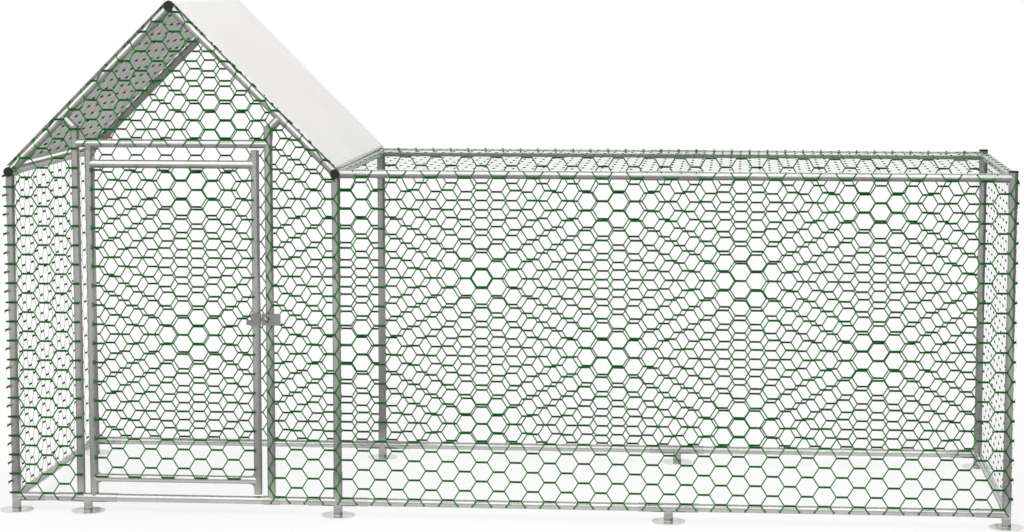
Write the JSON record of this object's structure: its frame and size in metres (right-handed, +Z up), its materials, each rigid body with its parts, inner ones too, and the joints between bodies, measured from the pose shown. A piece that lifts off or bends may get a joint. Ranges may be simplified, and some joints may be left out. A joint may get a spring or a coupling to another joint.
{
  "type": "walk-in chicken run",
  "caption": "Walk-in chicken run: a steel-tube frame with a gabled, covered end and hinged door beside a low flat-topped run, all dressed with hexagonal wire netting.",
  "frame": {"origin": "middle of the run's footprint, on the ground", "axes": "+X along the length towards the low run, -Y towards the door side, +Z up"},
  "size_m": [3.077, 1.072, 1.5526],
  "materials": {
    "tube": "galvanised",
    "connector": "galvanised",
    "fittings": "zinc plated",
    "cap": "matte",
    "netting": "plastic coated",
    "cover": "coated cloth"
  },
  "bodies": {
    "frame": {"front_left_post": "tube", "front_mid_post": "tube", "front_right_post": "tube", "rear_left_post": "tube", "rear_mid_post": "tube", "rear_right_post": "tube", "left_door_post": "tube", "right_door_post": "tube", "door_header": "tube", "front_left_rafter": "tube", "front_right_rafter": "tube", "rear_left_rafter": "tube", "rear_right_rafter": "tube", "ridge_tube": "tube", "left_eave_tube": "tube", "right_eave_tube": "tube", "front_top_rails": "tube", "rear_top_rails": "tube", "end_top_rail": "tube", "left_bottom_rail": "tube", "end_bottom_rail": "tube", "door_sill": "tube", "front_bottom_rails": "tube", "rear_bottom_rails": "tube", "front_left_foot": "connector", "front_mid_foot": "connector", "front_right_foot": "connector", "rear_left_foot": "connector", "rear_mid_foot": "connector", "rear_right_foot": "connector", "door_foot": "connector", "front_run_foot": "connector", "rear_run_foot": "connector", "eave_connectors": "connector", "ridge_connectors": "connector", "corner_connectors": "connector", "rail_couplers": "connector", "door_post_tees": "connector", "end_caps": "cap", "connector_screws": "fittings", "hinge_pegs": "fittings", "padlock_lug": "fittings", "front_left_net": "netting", "front_right_net": "netting", "gable_net": "netting", "left_net": "netting", "rear_gable_net": "netting", "run_front_net": "netting", "run_rear_net": "netting", "run_end_net": "netting", "run_roof_net": "netting", "roof_net": "netting", "roof_cover": "cover"},
    "door": {"hinge_stile": "tube", "latch_stile": "tube", "door_rails": "tube", "door_net": "netting", "hasp_leaf": "fittings", "hasp_pin": "fittings"},
    "hasp": {"hasp_strap": "fittings"}
  },
  "joints": [
    {"name": "door_hinge", "type": "hinge", "parent": "frame", "child": "door", "pos_m": [-1.245, -0.485, 0], "axis": [0, 0, -1], "range_deg": [0, 120]},
    {"name": "hasp_hinge", "type": "hinge", "parent": "door", "child": "hasp", "pos_m": [-0.7275, -0.5058, 0.595], "axis": [0, 0, -1], "range_deg": [0, 170]}
  ]
}
